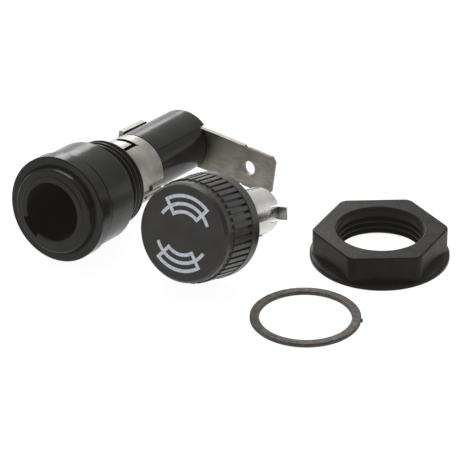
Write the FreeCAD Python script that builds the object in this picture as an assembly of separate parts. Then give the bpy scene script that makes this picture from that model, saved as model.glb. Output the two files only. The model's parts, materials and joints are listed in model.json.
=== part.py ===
import FreeCAD, Part
import math
import os
from FreeCAD import Placement, Rotation, Vector

# Panel-mount fuse holder for a 6.3 x 32 mm cartridge fuse, laid out as a kit on a flat surface:
# the holder body on its side, the bayonet cap on its side, the panel nut and the panel gasket.
#
# Frame: origin under the middle of the kit, +Z up from the surface, +Y along the holder from its
# mouth to its rear terminal, +X to the right of the mouth. Millimetres.
#
# Each turned piece is drawn in its own frame: its axis is local Z, its front looks along +Z, and
# a depth is measured from the front face backwards, so depth d lies at local z = -d. Angles are
# seen from the front, anticlockwise from local +X.

# Fuse and sheet stock
FUSE_R = 3.175
TAB_WIDTH = 6.3
TAB_STOCK = 0.8
BAND_STOCK = 0.5

# Housing
BOSS_REACH = 1.4
BOSS_TIP_R = 5.2
BOSS_SHOULDER_R = 6.15
BOSS_ROOT_R = 6.6
RING_R = 7.9
RING_FACE = -0.15
RING_EDGE = 0.15
RING_DEPTH = 2.3
NECK_R = 7.55
NECK_GROOVE_R = 7.1
NECK_START = 2.75
SEAT_DEPTH = 8.5
PANEL_LAND_END = 9.3
THREAD_R = 6.5
THREAD_ROOT_R = 6.0
THREAD_PITCH = 0.95
THREAD_START = 9.5
THREAD_END = 13.45
BARREL_R = 4.6
BARREL_END = 20.6
TUBE_R = 4.3
SADDLE_R = 5.1
SADDLE_ANGLES = (51.0, 129.0)
HOUSING_END = 34.0
MOUTH_LEAD_R = 4.35
MOUTH_LEAD_END = 11.0
MOUTH_R = 4.05
MOUTH_DEPTH = 15.0
FUSE_BORE_R = FUSE_R + 0.2
FUSE_BORE_END = 25.1
SPRING_BORE_R = 3.65
SPRING_BORE_END = 32.6
EYELET_HOLE_R = 1.25
EYELET_HEAD_R = 2.9
EYELET_FLARE_R = 2.1
EYELET_INNER_R = 0.7
EYELET_STOCK = 0.4

# Bayonet: one slot runs back from the mouth into a round chamber
SLOT_R = 5.2
SLOT_SPAN = 39.0
SLOT_ANGLE = 226.0
CHAMBER_START = 11.7
CHAMBER_END = 13.2
CONTACT_WINDOW = (14.6, 16.8)
CONTACT_WINDOW_WIDTH = 2.4

# Side terminal: a band round the barrel, with a tab along the left side
BAND_R = 5.15
BAND_START = 13.7
BAND_END = 20.3
LANCE_ANGLES = (74.0, 113.0)
LANCE_DEPTHS = (17.3, 17.9)
SEAM_ANGLE = -12.0
SEAM_FOLDS = ((-9.0, 16.4, 20.4), (0.0, 14.6, 19.6), (8.0, 17.0, 20.1))
SEAM_FOLD_R = 0.32
SEAM_FOLD_STEP = 0.05
SIDE_TAB_FACE = 4.75
SIDE_TAB_SHOULDER = 24.0
SIDE_TAB_END = 31.1
SIDE_TAB_LEAN = 1.5
SIDE_TAB_NECK = 4.2
SIDE_TAB_HOLE_R = 0.85
SIDE_TAB_CORNER = 0.9
CONTACT_ARM_WIDTH = 1.4
CONTACT_ARM_STOCK = 0.3
FIT_GAP = 0.02

# Rear terminal: a flat plate across the tube's end, out to the right
REAR_TAB_REACH = 16.6
REAR_TAB_BEND = 4.4
REAR_TAB_LEAN = 5.0
REAR_TAB_SHOULDER = 11.1
REAR_TAB_HOLE_X = 12.2
REAR_TAB_HOLE_R = 1.1
REAR_TAB_CORNER = 0.8
REAR_TAB_NOTCH = 0.35
REAR_TAB_BEVEL = 0.2
REAR_TAB_LEAD_IN = 1.0

# Rear contact
PLUNGER_R = 3.55
PLUNGER_FACE = 25.2
PLUNGER_LENGTH = 2.2
SPRING_R = 2.6
SPRING_WIRE_R = 0.3
SPRING_TURNS = 3

# Cap
KNOB_LENGTH = 8.4
KNOB_FACE_R = 6.95
KNOB_RIM_R = 7.7
KNURL_START = 1.8
KNURL_END = 6.6
KNURL_COUNT = 45
KNURL_DEPTH = 0.26
KNURL_WIDTH = 0.42
KNURL_STEP = 0.24
RECESS_R = 6.75
RECESS_START = 6.2
POCKET_R = 4.25
POCKET_START = 3.2
CLIP_R = 3.5
CLIP_ROOT_INNER_R = 2.6
CLIP_ROOT_END = 4.8
CLIP_STOCK = 0.35
CLIP_START = 3.2
CLIP_END = 21.6
CLIP_LIP_R = 3.8
CLIP_LIP_LENGTH = 0.4
CLIP_LIP_ANGLES = (235.0, 290.0)
EAR_REACH = 4.8
EAR_WIDTH = 1.9
EAR_ANGLE = 10.0
CLIP_SEAM_ANGLES = (130.0, 310.0)
COLLAR_R = 3.95
RIVET_R = 1.2
RIVET_HEAD_R = 2.3

# Nut and gasket
NUT_FLANGE_R = 10.15
NUT_RIM = 0.7
NUT_CONE_TOP = 1.05
NUT_HEIGHT = 4.6
NUT_ACROSS_FLATS = 17.4
NUT_CORNER_ROUNDING = 1.6
NUT_TOP_ROUNDING = 0.25
NUT_MINOR_R = 6.1
NUT_MAJOR_R = 6.6
GASKET_OUTER_R = 7.85
GASKET_INNER_R = 6.55
GASKET_THICKNESS = 0.6
GASKET_NUB_R = 0.25

# Lay-out on the surface, before the kit is centred: x and y of the front of each group
HOLDER_XY = (-16.3, -20.8)
CAP_XY = (3.95, -19.1)
NUT_XY = (22.5, 4.85)
GASKET_XY = (22.4, -16.1)
NUT_TURN = 34.0

Z_AXIS = Vector(0, 0, 1)
ORIGIN = Vector(0, 0, 0)


def solid_of(face_sweep):
    """The same solid with its faces turned outwards."""
    if face_sweep.Volume < 0:
        face_sweep.reverse()
    return face_sweep


def outline(points):
    return Part.Face(Part.makePolygon(points + [points[0]]))


def turned(profile):
    """Solid turned from (depth, radius) points."""
    face = outline([Vector(radius, 0, -depth) for depth, radius in profile])
    return solid_of(face.revolve(ORIGIN, Z_AXIS, 360))


def disc(start, end, radius):
    """Cylinder from one depth to another."""
    return Part.makeCylinder(radius, end - start, Vector(0, 0, -end))


def tube(start, end, outer, inner):
    return disc(start, end, outer).cut(disc(start, end, inner))


def block(x_range, y_range, depth_range):
    """Box between two x, two y and two depths."""
    size = [high - low for low, high in (x_range, y_range, depth_range)]
    return Part.makeBox(*size, Vector(x_range[0], y_range[0], -depth_range[1]))


def turn(shape, angle):
    shape = shape.copy()
    shape.rotate(ORIGIN, Z_AXIS, angle)
    return shape


def sector(start, end, radius, angle_from, angle_to):
    """Pie slice of a disc between two angles."""
    slice_solid = Part.makeCylinder(radius, end - start, Vector(0, 0, -end), Z_AXIS, angle_to - angle_from)
    return turn(slice_solid, angle_from)


def drilled(shape, tools):
    return shape.cut(Part.makeCompound(tools))


def fused(first, *others):
    return first.multiFuse(list(others)).removeSplitter()


def thread_crests(start, end, root, crest):
    """Parallel rounded-V ridges or grooves between two depths, as one turned profile."""
    count = int((end - start) / THREAD_PITCH)
    points = [(start, root)]
    for turn_index in range(count):
        base = start + turn_index * THREAD_PITCH
        for step, radius in ((0.12, root), (0.4, crest), (0.6, crest), (0.88, root)):
            points.append((base + step * THREAD_PITCH, radius))
    points.append((end, root))
    return points


def make_housing():
    thread = thread_crests(THREAD_START, THREAD_END, THREAD_ROOT_R, THREAD_R)
    outside = [
        (-BOSS_REACH, 0),
        (-BOSS_REACH, BOSS_TIP_R),
        (-BOSS_REACH + 0.15, BOSS_TIP_R + 0.1),
        (-BOSS_REACH + 0.25, BOSS_SHOULDER_R),
        (-BOSS_REACH + 0.4, BOSS_SHOULDER_R + 0.15),
        (RING_FACE + 0.1, BOSS_ROOT_R),
        (RING_FACE + 0.1, BOSS_ROOT_R + 0.15),
        (RING_FACE, BOSS_ROOT_R + 0.15),
        (RING_FACE, RING_R - RING_EDGE),
        (RING_FACE + RING_EDGE, RING_R),
        (RING_DEPTH - RING_EDGE, RING_R),
        (RING_DEPTH, RING_R - RING_EDGE),
        (RING_DEPTH, NECK_GROOVE_R),
        (NECK_START, NECK_GROOVE_R),
        (NECK_START, NECK_R - RING_EDGE),
        (NECK_START + RING_EDGE, NECK_R),
        (SEAT_DEPTH, NECK_R),
        (SEAT_DEPTH, THREAD_R),
        (PANEL_LAND_END - 0.15, THREAD_R),
        (PANEL_LAND_END, THREAD_ROOT_R),
    ]
    outside += thread
    outside += [
        (THREAD_END, BARREL_R),
        (BARREL_END, BARREL_R),
        (BARREL_END, TUBE_R),
        (HOUSING_END - 0.2, TUBE_R),
        (HOUSING_END, TUBE_R - 0.2),
        (HOUSING_END, 0),
    ]
    saddle = sector(BARREL_END, HOUSING_END, SADDLE_R, *SADDLE_ANGLES)
    body = fused(turned(outside), saddle)
    bore = turned([
        (-BOSS_REACH, 0),
        (-BOSS_REACH, MOUTH_LEAD_R + 0.1),
        (-BOSS_REACH + 0.1, MOUTH_LEAD_R),
        (MOUTH_LEAD_END, MOUTH_LEAD_R),
        (MOUTH_LEAD_END + 0.3, MOUTH_R),
        (MOUTH_DEPTH, MOUTH_R),
        (MOUTH_DEPTH + 0.5, FUSE_BORE_R),
        (FUSE_BORE_END, FUSE_BORE_R),
        (FUSE_BORE_END, SPRING_BORE_R),
        (SPRING_BORE_END, SPRING_BORE_R),
        (SPRING_BORE_END, 0),
    ])
    half = SLOT_SPAN / 2
    slot = sector(-BOSS_REACH, CHAMBER_END, SLOT_R, SLOT_ANGLE - half, SLOT_ANGLE + half)
    chamber = disc(CHAMBER_START, CHAMBER_END, SLOT_R)
    half_window = CONTACT_WINDOW_WIDTH / 2
    window = block((-half_window, half_window), (MOUTH_R - 1.0, BARREL_R + 1.0), CONTACT_WINDOW)
    eyelet_hole = disc(SPRING_BORE_END, HOUSING_END, EYELET_HOLE_R)
    return drilled(body, [bore, slot, chamber, window, eyelet_hole])


def make_side_terminal():
    """Rolled band with a lanced finger, a folded seam, a flat tab and a contact arm inside the mouth."""
    inner = BAND_R - BAND_STOCK
    band = tube(BAND_START, BAND_END, BAND_R, inner)
    lance = sector(LANCE_DEPTHS[0], LANCE_DEPTHS[1], BAND_R + 1, *LANCE_ANGLES)
    finger_end = sector(BAND_START - 1, LANCE_DEPTHS[1], BAND_R + 1, LANCE_ANGLES[0], LANCE_ANGLES[0] + 7)
    band = drilled(band, [lance, finger_end])
    lip = sector(LANCE_DEPTHS[1], LANCE_DEPTHS[1] + 0.45, BAND_R + 0.12, *LANCE_ANGLES)
    lip = lip.cut(disc(BAND_START, BAND_END, BAND_R - 0.1))
    hook_depths = (CONTACT_WINDOW[0] + 0.3, CONTACT_WINDOW[0] + 0.9)
    arm_width = (-CONTACT_ARM_WIDTH / 2, CONTACT_ARM_WIDTH / 2)
    arm_face = CLIP_R + 0.07
    hook = block(arm_width, (arm_face, inner + 0.2), hook_depths)
    spring_arm = block(
        arm_width, (arm_face, arm_face + CONTACT_ARM_STOCK), (CHAMBER_START + 0.5, hook_depths[1])
    )
    folds = []
    for fold, (shift, start, end) in enumerate(SEAM_FOLDS):
        fold_bar = disc(start, end, SEAM_FOLD_R + SEAM_FOLD_STEP * fold)
        fold_bar.translate(Vector(BAND_R - 0.05, 0, 0))
        folds.append(turn(fold_bar, SEAM_ANGLE + shift))
    tab_x = (-SIDE_TAB_FACE - TAB_STOCK, -SIDE_TAB_FACE)
    half_neck = SIDE_TAB_NECK / 2
    half_tab = TAB_WIDTH / 2
    neck = block(tab_x, (-half_neck, half_neck), (BAND_START + 2.5, SIDE_TAB_SHOULDER + 0.5))
    neck = neck.cut(disc(BAND_START, BAND_END + 0.01, inner + 0.1))
    corner = SIDE_TAB_CORNER
    blade = outline([
        Vector(tab_x[0], -half_tab, -SIDE_TAB_SHOULDER),
        Vector(tab_x[0], half_tab, -SIDE_TAB_SHOULDER),
        Vector(tab_x[0], half_tab, -SIDE_TAB_END + corner),
        Vector(tab_x[0], half_tab - corner, -SIDE_TAB_END),
        Vector(tab_x[0], -half_tab + corner, -SIDE_TAB_END),
        Vector(tab_x[0], -half_tab, -SIDE_TAB_END + corner),
    ]).extrude(Vector(TAB_STOCK, 0, 0))
    hole_depth = (SIDE_TAB_SHOULDER + SIDE_TAB_END) / 2
    hole = Part.makeCylinder(SIDE_TAB_HOLE_R, 2, Vector(tab_x[0] - 0.5, 0, -hole_depth), Vector(1, 0, 0))
    blade = solid_of(blade).cut(hole)
    blade.rotate(Vector(0, 0, -SIDE_TAB_SHOULDER), Vector(1, 0, 0), -SIDE_TAB_LEAN)
    return fused(band, lip, hook, spring_arm, neck, blade, *folds)


def make_rear_terminal():
    """Flat foot round the eyelet, and a tab that leans a little towards the mouth."""
    half = TAB_WIDTH / 2
    front = -HOUSING_END - FIT_GAP
    rounded_end = Part.makeCylinder(half, TAB_STOCK, Vector(0, 0, front - TAB_STOCK))
    foot = Part.makeBox(REAR_TAB_BEND, TAB_WIDTH, TAB_STOCK, Vector(0, -half, front - TAB_STOCK))
    corner = REAR_TAB_CORNER
    notch = REAR_TAB_NOTCH
    blade = outline([
        Vector(REAR_TAB_BEND, -half, front),
        Vector(REAR_TAB_SHOULDER - notch, -half, front),
        Vector(REAR_TAB_SHOULDER, -half + notch, front),
        Vector(REAR_TAB_SHOULDER + notch, -half, front),
        Vector(REAR_TAB_REACH - corner, -half, front),
        Vector(REAR_TAB_REACH, -half + corner, front),
        Vector(REAR_TAB_REACH, half - corner, front),
        Vector(REAR_TAB_REACH - corner, half, front),
        Vector(REAR_TAB_SHOULDER + notch, half, front),
        Vector(REAR_TAB_SHOULDER, half - notch, front),
        Vector(REAR_TAB_SHOULDER - notch, half, front),
        Vector(REAR_TAB_BEND, half, front),
    ]).extrude(Vector(0, 0, -TAB_STOCK))
    blade = solid_of(blade)
    tab_edges = [
        edge
        for edge in blade.Edges
        if edge.BoundBox.ZLength < 1e-6
        and edge.BoundBox.XMin > REAR_TAB_SHOULDER + notch - 1e-6
        and edge.BoundBox.XMin < REAR_TAB_REACH - corner - 1e-6
    ]
    blade = blade.makeChamfer(REAR_TAB_BEVEL, tab_edges)
    lead_in = outline([
        Vector(REAR_TAB_REACH - REAR_TAB_LEAD_IN, -half, front),
        Vector(REAR_TAB_REACH + 0.1, -half, front - REAR_TAB_BEVEL - 0.02),
        Vector(REAR_TAB_REACH + 0.1, -half, front + 0.1),
        Vector(REAR_TAB_REACH - REAR_TAB_LEAD_IN, -half, front + 0.1),
    ]).extrude(Vector(0, TAB_WIDTH, 0))
    middle = Vector(0, 0, front - TAB_STOCK / 2)
    blade = drilled(blade, [lead_in, lead_in.mirror(middle, Z_AXIS)])
    blade = blade.cut(Part.makeCylinder(REAR_TAB_HOLE_R, 2, Vector(REAR_TAB_HOLE_X, 0, front - 1.5)))
    blade.rotate(Vector(REAR_TAB_BEND, 0, front - TAB_STOCK), Vector(0, 1, 0), -REAR_TAB_LEAN)
    plate = fused(rounded_end, foot, blade)
    return plate.cut(disc(HOUSING_END - 1, HOUSING_END + 2, EYELET_HOLE_R))


def make_rear_eyelet():
    """Hollow rivet that clamps the rear terminal to the housing's end wall."""
    back = HOUSING_END + FIT_GAP + TAB_STOCK
    return turned([
        (SPRING_BORE_END - FIT_GAP - EYELET_STOCK, EYELET_INNER_R),
        (SPRING_BORE_END - FIT_GAP - EYELET_STOCK, EYELET_HEAD_R),
        (SPRING_BORE_END - FIT_GAP, EYELET_HEAD_R),
        (SPRING_BORE_END - FIT_GAP, EYELET_HOLE_R - 0.03),
        (back + FIT_GAP, EYELET_HOLE_R - 0.03),
        (back + FIT_GAP, EYELET_FLARE_R - 0.1),
        (back + 0.25, EYELET_FLARE_R),
        (back + 0.5, EYELET_FLARE_R - 0.3),
        (back + 0.5, EYELET_INNER_R),
    ])


def make_contact_spring():
    """Compression spring between the eyelet's head and the contact plunger, made of tilted half rings."""
    start = PLUNGER_FACE + PLUNGER_LENGTH + SPRING_WIRE_R + 0.03
    end = SPRING_BORE_END - 0.45 - SPRING_WIRE_R
    rise = (end - start) / (2 * SPRING_TURNS)
    section = Part.Face(Part.Wire(Part.makeCircle(SPRING_WIRE_R, Vector(SPRING_R, 0, 0), Vector(0, 1, 0))))
    across = Vector(-2 * SPRING_R, 0, rise)
    half_ring = solid_of(section.revolve(Vector(0, 0, rise / 2), across.cross(Vector(0, 1, 0)), 180))
    coils = []
    for index in range(2 * SPRING_TURNS):
        coil = turn(half_ring, 180 * index)
        coil.translate(Vector(0, 0, index * rise - end))
        coils.append(coil)
    return coils[0].multiFuse(coils[1:])


def make_contact_plunger():
    """Cup that the fuse's rear ferrule pushes on."""
    face = PLUNGER_FACE
    back = face + PLUNGER_LENGTH
    return turned([
        (face, 0),
        (face, PLUNGER_R - 0.4),
        (face + 0.4, PLUNGER_R),
        (back, PLUNGER_R),
        (back, PLUNGER_R - 0.5),
        (back - 0.4, PLUNGER_R - 0.5),
        (back - 0.4, 1.6),
        (back, 1.6),
        (back, 0.0),
    ])


def make_knob():
    crest_front = KNOB_FACE_R + 0.33 + KNURL_STEP
    crest_rear = KNOB_RIM_R - 0.1
    knob = turned([
        (0, 0),
        (0, KNOB_FACE_R - 0.1),
        (0.12, KNOB_FACE_R),
        (0.5, crest_front - KNURL_STEP - 0.06),
        (KNURL_START, crest_front - KNURL_STEP),
        (KNURL_START + 0.05, crest_front),
        (KNURL_END, crest_rear),
        (KNURL_END + 0.1, KNOB_RIM_R),
        (KNOB_LENGTH, KNOB_RIM_R),
        (KNOB_LENGTH, RECESS_R),
        (RECESS_START, RECESS_R),
        (RECESS_START, POCKET_R),
        (POCKET_START, POCKET_R),
        (POCKET_START, RIVET_R + 0.05),
        (POCKET_START - 1.9, RIVET_R + 0.05),
        (POCKET_START - 1.9, 0),
    ])
    cone = math.degrees(math.atan((crest_rear - crest_front) / (KNURL_END - KNURL_START)))
    flute_width = (-KNURL_WIDTH / 2, KNURL_WIDTH / 2)
    flute = block((crest_front - KNURL_DEPTH, crest_front + 1.5), flute_width, (KNURL_START, KNURL_END))
    flute.rotate(Vector(crest_front, 0, -KNURL_START), Vector(0, 1, 0), cone)
    flutes = [turn(flute, index * 360 / KNURL_COUNT) for index in range(KNURL_COUNT)]
    return drilled(knob, flutes)


def make_fuse_clip():
    """Rolled sleeve split into two leaves, with a bayonet ear on one and a lead-in lip on the other."""
    inner = CLIP_R - CLIP_STOCK
    sleeve = tube(CLIP_START, CLIP_END, CLIP_R, inner)
    root = tube(CLIP_START, CLIP_ROOT_END, CLIP_R, CLIP_ROOT_INNER_R)
    base = tube(CLIP_START, CLIP_START + CLIP_STOCK, CLIP_R, RIVET_R + 0.05)
    lip = sector(CLIP_END - CLIP_LIP_LENGTH, CLIP_END, CLIP_LIP_R, *CLIP_LIP_ANGLES)
    lip = lip.cut(disc(CLIP_START, CLIP_END, inner))
    cuts = []
    for angle in CLIP_SEAM_ANGLES:
        seam = block((inner - 0.5, CLIP_R + 0.5), (-0.25, 0.25), (KNOB_LENGTH + 1.6, CLIP_END))
        cuts.append(turn(seam, angle))
    half = EAR_WIDTH / 2
    for side in (-1, 1):
        slit = block((inner - 0.5, CLIP_R + 0.5), (-0.15, 0.15), (CLIP_END - 2.2, CLIP_END))
        slit.translate(Vector(0, side * (half + 0.15), 0))
        cuts.append(turn(slit, EAR_ANGLE))
    ear = block((inner, EAR_REACH), (-half, half), (CLIP_END - CLIP_STOCK, CLIP_END))
    return fused(drilled(sleeve, cuts), root, base, lip, turn(ear, EAR_ANGLE))


def make_clip_collar():
    """Ring that backs the sleeve where it leaves the knob."""
    return turned([
        (POCKET_START + 3.2, CLIP_R + 0.02),
        (POCKET_START + 3.2, COLLAR_R),
        (KNOB_LENGTH + 0.5, COLLAR_R),
        (KNOB_LENGTH + 0.7, COLLAR_R - 0.2),
        (KNOB_LENGTH + 0.7, CLIP_R + 0.02),
    ])


def make_cap_rivet():
    """Rivet that holds the sleeve's base in the knob and lets the knob turn."""
    head = CLIP_START + CLIP_STOCK + 0.05
    return turned([
        (POCKET_START - 1.8, 0),
        (POCKET_START - 1.8, RIVET_R - 0.1),
        (POCKET_START - 1.6, RIVET_R),
        (head, RIVET_R),
        (head, RIVET_HEAD_R),
        (head + 0.4, RIVET_HEAD_R - 0.1),
        (head + 0.8, RIVET_HEAD_R - 0.9),
        (head + 0.8, 0),
    ])


def make_nut():
    """Hexagon nut with a broad flange, standing on its flange."""
    flange = turned([
        (0, 0),
        (0, NUT_FLANGE_R - 0.15),
        (-0.15, NUT_FLANGE_R),
        (-NUT_RIM + 0.1, NUT_FLANGE_R),
        (-NUT_RIM, NUT_FLANGE_R - 0.15),
        (-NUT_CONE_TOP, NUT_ACROSS_FLATS / 2 - 0.1),
        (-NUT_CONE_TOP, 0),
    ])
    corner = NUT_ACROSS_FLATS / 2 / math.cos(math.radians(30))
    hexagon = outline([
        Vector(corner * math.cos(math.radians(60 * side)), corner * math.sin(math.radians(60 * side)), 0.3)
        for side in range(6)
    ])
    prism = solid_of(hexagon.extrude(Vector(0, 0, NUT_HEIGHT - 0.3)))
    corners = [edge for edge in prism.Edges if edge.BoundBox.ZLength > 1]
    prism = prism.makeFillet(NUT_CORNER_ROUNDING, corners)
    top_edges = [edge for edge in prism.Edges if edge.BoundBox.ZMin > NUT_HEIGHT - 1e-6]
    prism = prism.makeFillet(NUT_TOP_ROUNDING, top_edges)
    hole = [(0, 0), (0, NUT_MAJOR_R + 0.2), (-0.5, NUT_MINOR_R)]
    for depth, radius in thread_crests(0.5, NUT_HEIGHT - 0.4, NUT_MINOR_R, NUT_MAJOR_R)[1:]:
        hole.append((-depth, radius))
    hole += [(-NUT_HEIGHT, NUT_MINOR_R + 0.4), (-NUT_HEIGHT, 0)]
    return fused(flange, prism).cut(turned(hole))


def make_gasket():
    """Flat rubber ring with a small moulding nub on its edge."""
    ring = turned([
        (0, GASKET_INNER_R + 0.1),
        (-0.1, GASKET_INNER_R),
        (-GASKET_THICKNESS + 0.1, GASKET_INNER_R),
        (-GASKET_THICKNESS, GASKET_INNER_R + 0.1),
        (-GASKET_THICKNESS, GASKET_OUTER_R - 0.12),
        (-GASKET_THICKNESS + 0.12, GASKET_OUTER_R),
        (-0.12, GASKET_OUTER_R),
        (0, GASKET_OUTER_R - 0.12),
    ])
    nub = Part.makeCylinder(GASKET_NUB_R, GASKET_THICKNESS - 0.2, Vector(GASKET_OUTER_R, 0, 0.1))
    return turn(fused(ring, nub), 25)


def resting_tilt(front_depth, front_radius, rear_depth, rear_radius):
    """Angle by which a stepped round piece dips at the rear when it lies on two of its edges."""
    return math.degrees(math.atan((front_radius - rear_radius) / (rear_depth - front_depth)))


def lying_placement(place, height, tilt, roll):
    """Turn a piece from its own frame onto its side, mouth to -Y, rear end dipped by tilt."""
    lay_down = Rotation(Vector(1, 0, 0), 90 - tilt)
    spin = Rotation(Z_AXIS, roll)
    return Placement(Vector(place[0], place[1], height), lay_down.multiply(spin))


def front_height(depth, radius, tilt):
    """Height of a lying piece's front centre above the surface that its edge rests on."""
    angle = math.radians(tilt)
    return depth * math.sin(angle) + radius * math.cos(angle)


def holder_placement():
    tilt = resting_tilt(SEAT_DEPTH, NECK_R, HOUSING_END, TUBE_R)
    height = front_height(SEAT_DEPTH, NECK_R, tilt)
    # The holder rolls until the lower corner of the rear terminal meets the surface too.
    back = HOUSING_END + TAB_STOCK
    axis_height = height / math.cos(math.radians(tilt)) - back * math.tan(math.radians(tilt))
    reach = REAR_TAB_REACH - REAR_TAB_CORNER
    corner = math.hypot(reach, TAB_WIDTH / 2)
    roll = math.asin(axis_height / corner) - math.atan2(TAB_WIDTH / 2, reach)
    return lying_placement(HOLDER_XY, height, tilt, -math.degrees(roll))


def cap_placement():
    tilt = resting_tilt(KNOB_LENGTH, KNOB_RIM_R, CLIP_END, CLIP_LIP_R)
    height = front_height(KNOB_LENGTH, KNOB_RIM_R, tilt)
    return lying_placement(CAP_XY, height, tilt, 0)


def build():
    """Every node by name, in the kit's frame, and the placement of each group."""
    groups = {
        "holder": holder_placement(),
        "cap": cap_placement(),
        "nut": Placement(Vector(*NUT_XY, 0), Rotation(Z_AXIS, NUT_TURN)),
        "gasket": Placement(Vector(*GASKET_XY, 0), Rotation()),
    }
    pieces = {
        "housing": ("holder", make_housing),
        "side_terminal": ("holder", make_side_terminal),
        "rear_terminal": ("holder", make_rear_terminal),
        "rear_eyelet": ("holder", make_rear_eyelet),
        "contact_spring": ("holder", make_contact_spring),
        "contact_plunger": ("holder", make_contact_plunger),
        "knob": ("cap", make_knob),
        "fuse_clip": ("cap", make_fuse_clip),
        "clip_collar": ("cap", make_clip_collar),
        "cap_rivet": ("cap", make_cap_rivet),
        "mounting_nut": ("nut", make_nut),
        "panel_gasket": ("gasket", make_gasket),
    }
    nodes = {}
    for name, (group, make) in pieces.items():
        shape = make()
        shape.Placement = groups[group].multiply(shape.Placement)
        nodes[name] = shape
    box = Part.makeCompound(list(nodes.values())).BoundBox
    shift = Vector(-box.Center.x, -box.Center.y, -box.ZMin)
    for shape in nodes.values():
        shape.translate(shift)
    for placement in groups.values():
        placement.move(shift)
    return nodes, groups


def main():
    os.makedirs("parts", exist_ok=True)
    nodes, _ = build()
    for name, shape in nodes.items():
        shape.exportStep(f"parts/{name}.step")
        print(f"{name}: {len(shape.Solids)} solid, volume {shape.Volume:.1f} mm3, valid {shape.isValid()}")


main()
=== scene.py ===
import json
import math

import bmesh
import bpy
from mathutils import Matrix, Vector


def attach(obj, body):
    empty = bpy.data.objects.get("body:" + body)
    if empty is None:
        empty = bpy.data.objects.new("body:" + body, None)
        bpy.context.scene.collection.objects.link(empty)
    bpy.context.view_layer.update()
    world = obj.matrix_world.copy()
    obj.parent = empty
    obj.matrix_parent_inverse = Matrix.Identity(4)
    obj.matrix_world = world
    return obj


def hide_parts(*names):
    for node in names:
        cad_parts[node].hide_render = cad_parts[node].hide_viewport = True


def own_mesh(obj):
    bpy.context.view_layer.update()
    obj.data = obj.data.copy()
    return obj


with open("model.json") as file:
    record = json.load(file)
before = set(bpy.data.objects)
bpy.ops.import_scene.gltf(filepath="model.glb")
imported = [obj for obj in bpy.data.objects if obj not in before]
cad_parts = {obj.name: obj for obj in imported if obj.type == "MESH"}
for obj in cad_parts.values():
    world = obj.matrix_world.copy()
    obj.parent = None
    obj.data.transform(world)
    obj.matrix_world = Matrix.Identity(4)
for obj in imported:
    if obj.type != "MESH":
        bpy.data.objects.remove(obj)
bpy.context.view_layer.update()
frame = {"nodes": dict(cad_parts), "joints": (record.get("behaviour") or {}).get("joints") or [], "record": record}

MM = 0.001
NODES = frame["nodes"]
JOINTS = {joint["name"]: joint for joint in frame["joints"]}
MOUNTS = {mount["name"]: mount for mount in frame["record"]["mounts"]}

# Camera: a long lens, so that parallel edges stay nearly parallel
CAMERA_AZIMUTH = 31.7
CAMERA_ELEVATION = 29.4
CAMERA_DISTANCE = 0.5
CAMERA_LENS = 266.1
CAMERA_AIM = Vector((-4.225, 4.475, 0)) * MM

# Print on the knob's face: the plain circuit symbol for a fuse, bent round the face, twice
SYMBOL_RING = 4.25 * MM
SYMBOL_HALF_HEIGHT = 1.15 * MM
SYMBOL_HALF_SPAN = 38
SYMBOL_LEAD = 24
INK_WIDTH = 0.5 * MM
INK_THICKNESS = 0.02 * MM

# Contact spring: round wire, with the last half turn flat at each end
SPRING_RADIUS = 2.6 * MM
SPRING_WIRE = 0.3 * MM
SPRING_TURNS = 4
SPRING_FLAT_TURNS = 0.5

# Paper floor that curves up all round into a low backdrop, and glows a little under its white
FLOOR_RADIUS = 1.2
BACKDROP_HEIGHT = 0.2
FLOOR_GREY = 0.12
FLOOR_GLOW = 0.96

# Pale room: darkest below and in front, brightest towards this direction
ROOM_BRIGHT_SIDE = Vector((-0.35, 0.6, 0.72)).normalized()
ROOM_DARK = 0.1
ROOM_BRIGHT = 0.75
ROOM_STRENGTH = 1.1

# Soft lights: name, azimuth, elevation, distance, size and power
LIGHTS = (
    ("overhead_softbox", -150, 62, 0.5, 0.3, 1.5),
    ("left_softbox", -135, 25, 0.5, 0.25, 0.9),
)

# Faint warm painted glow: emission in the black plastic that stands in for light and keeps it from going fully
# black in the hollows
PAINTED_GLOW = 0.008
PAINTED_GLOW_COLOUR = (1, 0.95, 0.85, 1)


# ---------------------------------------------------------------- material helpers


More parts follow.
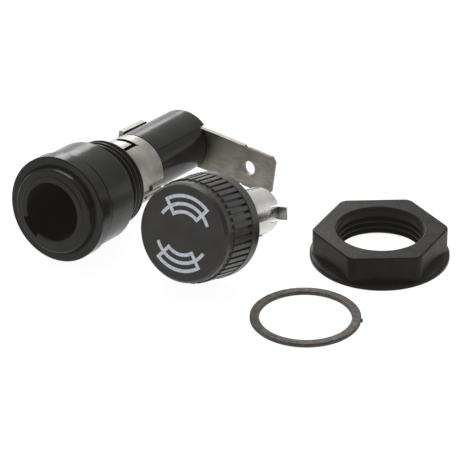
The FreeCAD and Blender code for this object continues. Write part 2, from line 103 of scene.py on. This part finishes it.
class Shader:
    """One material with a Principled shader, and short ways to add the nodes that feed it."""

    def __init__(self, name, colour, roughness, metallic=0.0, specular=0.5):
        self.material = bpy.data.materials.new(name)
        self.material.use_nodes = True
        self.tree = self.material.node_tree
        self.bsdf = self.tree.nodes["Principled BSDF"]
        self.bsdf.inputs["Base Color"].default_value = (*colour, 1)
        self.bsdf.inputs["Roughness"].default_value = roughness
        self.bsdf.inputs["Metallic"].default_value = metallic
        self.bsdf.inputs["Specular IOR Level"].default_value = specular
        self.place = self.tree.nodes.new("ShaderNodeTexCoord").outputs["Object"]
        self.normal = None

    def link(self, start, end):
        self.tree.links.new(start, end)

    def glow(self, colour, strength):
        self.bsdf.inputs["Emission Color"].default_value = colour
        self.bsdf.inputs["Emission Strength"].default_value = strength

    def noise(self, grain, detail=3.0, stretch=(1, 1, 1), distortion=0.0):
        """Noise whose grain is a size in millimetres. It follows the object."""
        mapping = self.tree.nodes.new("ShaderNodeMapping")
        mapping.inputs["Scale"].default_value = stretch
        self.link(self.place, mapping.inputs["Vector"])
        texture = self.tree.nodes.new("ShaderNodeTexNoise")
        texture.inputs["Scale"].default_value = 1 / (grain * MM)
        texture.inputs["Detail"].default_value = detail
        texture.inputs["Distortion"].default_value = distortion
        self.link(mapping.outputs["Vector"], texture.inputs["Vector"])
        return texture.outputs["Fac"]

    def spread(self, value, low, high, start=0.35, end=0.65):
        """Spreads a value between two numbers."""
        node = self.tree.nodes.new("ShaderNodeMapRange")
        node.inputs["From Min"].default_value = start
        node.inputs["From Max"].default_value = end
        node.inputs["To Min"].default_value = low
        node.inputs["To Max"].default_value = high
        self.link(value, node.inputs["Value"])
        return node.outputs["Result"]

    def blend(self, value, low, high, start=0.35, end=0.65):
        """Spreads a value between two colours."""
        node = self.tree.nodes.new("ShaderNodeValToRGB")
        node.color_ramp.elements[0].position = start
        node.color_ramp.elements[0].color = (*low, 1)
        node.color_ramp.elements[1].position = end
        node.color_ramp.elements[1].color = (*high, 1)
        self.link(value, node.inputs["Fac"])
        return node.outputs["Color"]

    def painted_shade(self, colour, reach):
        """Painted shade: darkens a colour in corners and inside narrow hollows, where shade falls, over a reach in
        millimetres.
        """
        node = self.tree.nodes.new("ShaderNodeAmbientOcclusion")
        node.samples = 8
        node.inputs["Distance"].default_value = reach * MM
        self.link(colour, node.inputs["Color"])
        return node.outputs["Color"]

    def round_edges(self, radius):
        """Softens the highlight on sharp edges, as a moulded or stamped edge has."""
        bevel = self.tree.nodes.new("ShaderNodeBevel")
        bevel.samples = 6
        bevel.inputs["Radius"].default_value = radius * MM
        self.normal = bevel.outputs["Normal"]
        self.link(self.normal, self.bsdf.inputs["Normal"])

    def bump(self, value, height):
        """Raises the surface by a height in millimetres where value is 1."""
        node = self.tree.nodes.new("ShaderNodeBump")
        node.inputs["Distance"].default_value = height * MM
        node.inputs["Strength"].default_value = 1
        self.link(value, node.inputs["Height"])
        if self.normal is not None:
            self.link(self.normal, node.inputs["Normal"])
        self.normal = node.outputs["Normal"]
        self.link(self.normal, self.bsdf.inputs["Normal"])

    def colour(self, socket):
        self.link(socket, self.bsdf.inputs["Base Color"])

    def roughness(self, socket):
        self.link(socket, self.bsdf.inputs["Roughness"])


# ---------------------------------------------------------------- materials


def moulded_plastic(name, dark, light, roughness, grain, grain_height, edge, specular):
    """Black plastic: slow tone changes, a fine moulded grain, faint waves and rubbed spots that shine."""
    shader = Shader(name, dark, roughness, specular=specular)
    # Painted light: a faint warm glow that lifts the black plastic in its hollows
    shader.glow(PAINTED_GLOW_COLOUR, PAINTED_GLOW)
    shader.colour(shader.blend(shader.noise(3.5, 4), dark, light))
    shader.roughness(shader.spread(shader.noise(1.7, 5), roughness * 0.82, roughness * 1.18))
    shader.round_edges(edge)
    shader.bump(shader.noise(grain, 4), grain_height)
    shader.bump(shader.noise(2.4, 2), 0.03)
    return shader.material


def plated_metal(name, dark, light, roughness, streak=(1, 1, 1), edge=0.06):
    """Tin-plated strip: drawn streaks, dull stains and small dents."""
    shader = Shader(name, dark, roughness, metallic=1.0)
    stained = shader.blend(shader.noise(4, 6, distortion=0.6), dark, light, 0.3, 0.7)
    # Painted shade in the tin's corners and hollows, laid over its stains
    shader.colour(shader.painted_shade(stained, 1.5))
    streaks = shader.noise(0.35, 3, streak)
    shader.roughness(shader.spread(streaks, roughness * 0.85, roughness * 1.2))
    shader.round_edges(edge)
    shader.bump(streaks, 0.0004)
    shader.bump(shader.noise(2.6, 1), 0.02)
    return shader.material


def soft_rubber(name, dark, light):
    """Dull rubber with a fine rough skin."""
    shader = Shader(name, dark, 0.62, specular=0.35)
    shader.colour(shader.blend(shader.noise(1.2, 5), dark, light))
    shader.roughness(shader.spread(shader.noise(0.5, 4), 0.5, 0.75))
    shader.round_edges(0.1)
    shader.bump(shader.noise(0.09, 3), 0.02)
    return shader.material


def printed_ink(name, thin, full):
    """Pale print, a little thin in places."""
    shader = Shader(name, full, 0.5)
    shader.colour(shader.blend(shader.noise(0.3, 6), thin, full, 0.3, 0.6))
    shader.roughness(shader.spread(shader.noise(0.3, 4), 0.4, 0.6))
    shader.bump(shader.noise(0.12, 3), 0.01)
    return shader.material


def housing_black():
    dark, light = (0.004, 0.0038, 0.0036), (0.009, 0.0084, 0.0078)
    return moulded_plastic(
        "phenolic_black", dark, light, roughness=0.22, grain=0.3, grain_height=0.004, edge=0.12, specular=0.22
    )


def knob_black():
    dark, light = (0.013, 0.0122, 0.0112), (0.022, 0.021, 0.0192)
    return moulded_plastic(
        "knob_black", dark, light, roughness=0.36, grain=0.12, grain_height=0.008, edge=0.1, specular=0.36
    )


def nut_black():
    dark, light = (0.007, 0.0058, 0.005), (0.014, 0.0118, 0.01)
    return moulded_plastic(
        "nut_black", dark, light, roughness=0.3, grain=0.15, grain_height=0.005, edge=0.2, specular=0.08
    )


def band_tin():
    """Dull tin, drawn round the barrel."""
    return plated_metal("band_tin", (0.22, 0.212, 0.193), (0.37, 0.36, 0.335), 0.36, streak=(1, 0.25, 1))


def tab_tin():
    """Yellowish tin on the rear tab, drawn along it."""
    return plated_metal("tab_tin", (0.25, 0.232, 0.2), (0.36, 0.342, 0.305), 0.56, (0.25, 1, 1), edge=0.1)


def sleeve_tin():
    """Bright tin on the cap's sleeve, drawn along it."""
    return plated_metal("sleeve_tin", (0.48, 0.47, 0.44), (0.64, 0.635, 0.615), 0.22, streak=(1, 0.2, 1))


def node_materials():
    """The material of every CAD node, by the node's name."""
    return {
        "housing": housing_black(),
        "knob": knob_black(),
        "mounting_nut": nut_black(),
        "panel_gasket": soft_rubber("gasket_rubber", (0.052, 0.045, 0.04), (0.088, 0.078, 0.07)),
        "side_terminal": band_tin(),
        "rear_terminal": tab_tin(),
        "rear_eyelet": plated_metal("eyelet_tin", (0.45, 0.42, 0.35), (0.6, 0.57, 0.5), 0.35),
        "contact_spring": plated_metal("spring_steel", (0.4, 0.4, 0.4), (0.55, 0.55, 0.55), 0.3),
        "contact_plunger": plated_metal("plunger_tin", (0.5, 0.46, 0.38), (0.66, 0.62, 0.52), 0.3),
        "fuse_clip": sleeve_tin(),
        "clip_collar": plated_metal("collar_tin", (0.38, 0.36, 0.3), (0.55, 0.53, 0.45), 0.3),
        "cap_rivet": plated_metal("rivet_tin", (0.5, 0.46, 0.38), (0.65, 0.6, 0.5), 0.35),
    }


def dress_cad_nodes(materials):
    for name, material in materials.items():
        mesh = NODES[name].data
        mesh.materials.clear()
        mesh.materials.append(material)


# ---------------------------------------------------------------- mesh helpers


def ring_points(radius, count):
    """Points evenly round a circle about the origin."""
    angles = [2 * math.pi * index / count for index in range(count)]
    return [Vector((radius * math.cos(angle), radius * math.sin(angle), 0)) for angle in angles]


def bridge(shape, rings):
    """Joins each ring of vertices to the next with a belt of faces."""
    for first, second in zip(rings, rings[1:]):
        for side in range(len(first)):
            after = (side + 1) % len(first)
            shape.faces.new((first[side], first[after], second[after], second[side]))


def close_ends(shape, rings):
    shape.faces.new(rings[0])
    shape.faces.new(list(reversed(rings[-1])))


def mesh_object(name, shape, material, smooth=False):
    bmesh.ops.recalc_face_normals(shape, faces=shape.faces)
    mesh = bpy.data.meshes.new(name)
    shape.to_mesh(mesh)
    shape.free()
    mesh.materials.append(material)
    if smooth:
        mesh.shade_smooth()
    made = bpy.data.objects.new(name, mesh)
    bpy.context.scene.collection.objects.link(made)
    return made


# ---------------------------------------------------------------- print on the knob


def face_frame(joint_name):
    """The frame of a lying round piece: Z out of its front, X to the right, Y upwards."""
    joint = JOINTS[joint_name]
    front = Vector(joint["axis"]).normalized()
    right = Vector((1, 0, 0))
    up = front.cross(right).normalized()
    turn = Matrix((right, up, front)).transposed().to_4x4()
    return Matrix.Translation(Vector(joint["pos_m"])) @ turn


def arc(radius, start, end, steps=24):
    """Points on an arc about the origin, angles in degrees anticlockwise from +X."""
    angles = [math.radians(start + (end - start) * step / steps) for step in range(steps + 1)]
    return [Vector((radius * math.cos(angle), radius * math.sin(angle), 0)) for angle in angles]


def ribbon(shape, points, place, closed=False):
    """Flat raised stroke along a line, with mitred corners and, if it is open, square ends."""
    last = len(points) - 1
    rise = Vector((0, 0, INK_THICKNESS))
    rings = []
    for index, point in enumerate(points):
        before = points[index - 1] if index or closed else None
        after = points[(index + 1) % len(points)] if index < last or closed else None
        incoming = (point - before).normalized() if before else (after - point).normalized()
        outgoing = (after - point).normalized() if after else incoming
        along = (incoming + outgoing).normalized()
        across = Vector((-along.y, along.x, 0))
        mitre = 1 / max(along.dot(incoming), 0.5)
        side = across * INK_WIDTH / 2 * mitre
        corners = (point + side, point - side, point - side + rise, point + side + rise)
        rings.append([shape.verts.new(place @ corner) for corner in corners])
    if closed:
        bridge(shape, rings + rings[:1])
    else:
        bridge(shape, rings)
        close_ends(shape, rings)


def fuse_symbol(shape, place):
    """A long box with a line through it, bent round the ring and centred at the top."""
    left, right = 90 + SYMBOL_HALF_SPAN, 90 - SYMBOL_HALF_SPAN
    outer = arc(SYMBOL_RING + SYMBOL_HALF_HEIGHT, left, right)
    inner = arc(SYMBOL_RING - SYMBOL_HALF_HEIGHT, right, left)
    ribbon(shape, outer + inner, place, closed=True)
    half_ink = math.degrees(INK_WIDTH / 2 / SYMBOL_RING)
    for start, end in (
        (left + SYMBOL_LEAD, left + half_ink),
        (left - half_ink, right + half_ink),
        (right - half_ink, right - SYMBOL_LEAD),
    ):
        ribbon(shape, arc(SYMBOL_RING, start, end), place)


def make_print():
    face = face_frame("cap_twist")
    shape = bmesh.new()
    for angle in (0, 180):
        fuse_symbol(shape, face @ Matrix.Rotation(math.radians(angle), 4, "Z"))
    ink = printed_ink("print_ink", (0.48, 0.5, 0.535), (0.7, 0.73, 0.775))
    symbols = mesh_object("knob_print", shape, ink)
    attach(symbols, "cap")


# ---------------------------------------------------------------- spring


def coil_section(share, start, end, sides=12):
    """Ring of points round the wire, in a frame whose Z runs along the spring."""
    turns = SPRING_TURNS * share
    rise = (turns - SPRING_FLAT_TURNS) / (SPRING_TURNS - 2 * SPRING_FLAT_TURNS)
    height = start + (end - start) * min(max(rise, 0), 1)
    outwards = Matrix.Rotation(2 * math.pi * turns, 3, "Z") @ Vector((1, 0, 0))
    return [
        outwards * (SPRING_RADIUS + point.x) + Vector((0, 0, height + point.y))
        for point in ring_points(SPRING_WIRE, sides)
    ]


def make_contact_spring(material, steps=160):
    """Coil between the eyelet's head and the plunger, built at one fixed length, though the real one shortens as
    the plunger goes back.
    """
    joint = JOINTS["contact_plunge"]
    along = Vector(joint["axis"]).normalized()
    turn = along.to_track_quat("Z", "Y").to_matrix().to_4x4()
    place = Matrix.Translation(Vector(MOUNTS["fuse_tube"]["pos_m"])) @ turn
    depths = [(place.inverted() @ vertex.co).z for vertex in NODES["contact_spring"].data.vertices]
    front, back = min(depths), max(depths)
    shape = bmesh.new()
    rings = []
    for step in range(steps + 1):
        section = coil_section(step / steps, front + SPRING_WIRE, back - SPRING_WIRE)
        rings.append([shape.verts.new(place @ point) for point in section])
    bridge(shape, rings)
    close_ends(shape, rings)
    spring = mesh_object("contact_coil", shape, material, smooth=True)
    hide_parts("contact_spring")
    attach(spring, "holder")
    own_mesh(spring)


# ---------------------------------------------------------------- stage


def make_floor(spokes=96, curve_steps=12):
    profile = [(FLOOR_RADIUS / 4, 0), (FLOOR_RADIUS, 0)]
    for step in range(1, curve_steps + 1):
        angle = math.pi / 2 * step / curve_steps
        reach = FLOOR_RADIUS + BACKDROP_HEIGHT * math.sin(angle)
        profile.append((reach, BACKDROP_HEIGHT * (1 - math.cos(angle))))
    shape = bmesh.new()
    rings = []
    for radius, height in profile:
        rise = Vector((0, 0, height))
        rings.append([shape.verts.new(point + rise) for point in ring_points(radius, spokes)])
    shape.faces.new(rings[0])
    bridge(shape, rings)
    shader = Shader("floor_paper", (FLOOR_GREY, FLOOR_GREY, FLOOR_GREY), 0.9, specular=0.0)
    shader.glow((1, 1, 1, 1), FLOOR_GLOW)
    mesh_object("floor", shape, shader.material)


def make_world():
    """Pale room that is brightest overhead and behind, and darker on the camera's side."""
    world = bpy.data.worlds.new("soft_room")
    bpy.context.scene.world = world
    world.use_nodes = True
    tree = world.node_tree
    background = tree.nodes["Background"]
    direction = tree.nodes.new("ShaderNodeTexCoord").outputs["Generated"]
    product = tree.nodes.new("ShaderNodeVectorMath")
    product.operation = "DOT_PRODUCT"
    product.inputs[1].default_value = ROOM_BRIGHT_SIDE
    tree.links.new(direction, product.inputs[0])
    ramp = tree.nodes.new("ShaderNodeValToRGB")
    ramp.color_ramp.elements[0].position = 0.42
    ramp.color_ramp.elements[0].color = (ROOM_DARK, ROOM_DARK, ROOM_DARK, 1)
    ramp.color_ramp.elements[1].position = 0.95
    ramp.color_ramp.elements[1].color = (ROOM_BRIGHT, ROOM_BRIGHT, ROOM_BRIGHT, 1)
    half = tree.nodes.new("ShaderNodeMapRange")
    half.inputs["From Min"].default_value = -1
    tree.links.new(product.outputs["Value"], half.inputs["Value"])
    tree.links.new(half.outputs["Result"], ramp.inputs["Fac"])
    tree.links.new(ramp.outputs["Color"], background.inputs["Color"])
    background.inputs["Strength"].default_value = ROOM_STRENGTH


def stand_back(thing, aim, azimuth, elevation, distance):
    """Places a camera or light at a distance from its aim, looking at it."""
    turn, rise = math.radians(azimuth), math.radians(elevation)
    back = Vector((
        math.sin(turn) * math.cos(rise),
        -math.cos(turn) * math.cos(rise),
        math.sin(rise),
    ))
    thing.location = aim + back * distance
    thing.rotation_mode = "QUATERNION"
    thing.rotation_quaternion = (-back).to_track_quat("-Z", "Y")
    bpy.context.scene.collection.objects.link(thing)


def make_light(name, azimuth, elevation, distance, size, power):
    light = bpy.data.lights.new(name, "AREA")
    light.size = size
    light.energy = power
    stand_back(bpy.data.objects.new(name, light), Vector(), azimuth, elevation, distance)


def make_camera():
    data = bpy.data.cameras.new("camera")
    data.lens = CAMERA_LENS
    data.sensor_width = 36
    data.clip_start = 0.01
    data.clip_end = 20
    camera = bpy.data.objects.new("camera", data)
    stand_back(camera, CAMERA_AIM, CAMERA_AZIMUTH, CAMERA_ELEVATION, CAMERA_DISTANCE)
    bpy.context.scene.camera = camera


def set_view():
    """Plain display of the light as it is, with no film look."""
    settings = bpy.context.scene.view_settings
    settings.view_transform = "Standard"
    settings.look = "None"


make_camera()
make_world()
make_floor()
for light in LIGHTS:
    make_light(*light)
set_view()
materials = node_materials()
dress_cad_nodes(materials)
make_contact_spring(materials["contact_spring"])
make_print()
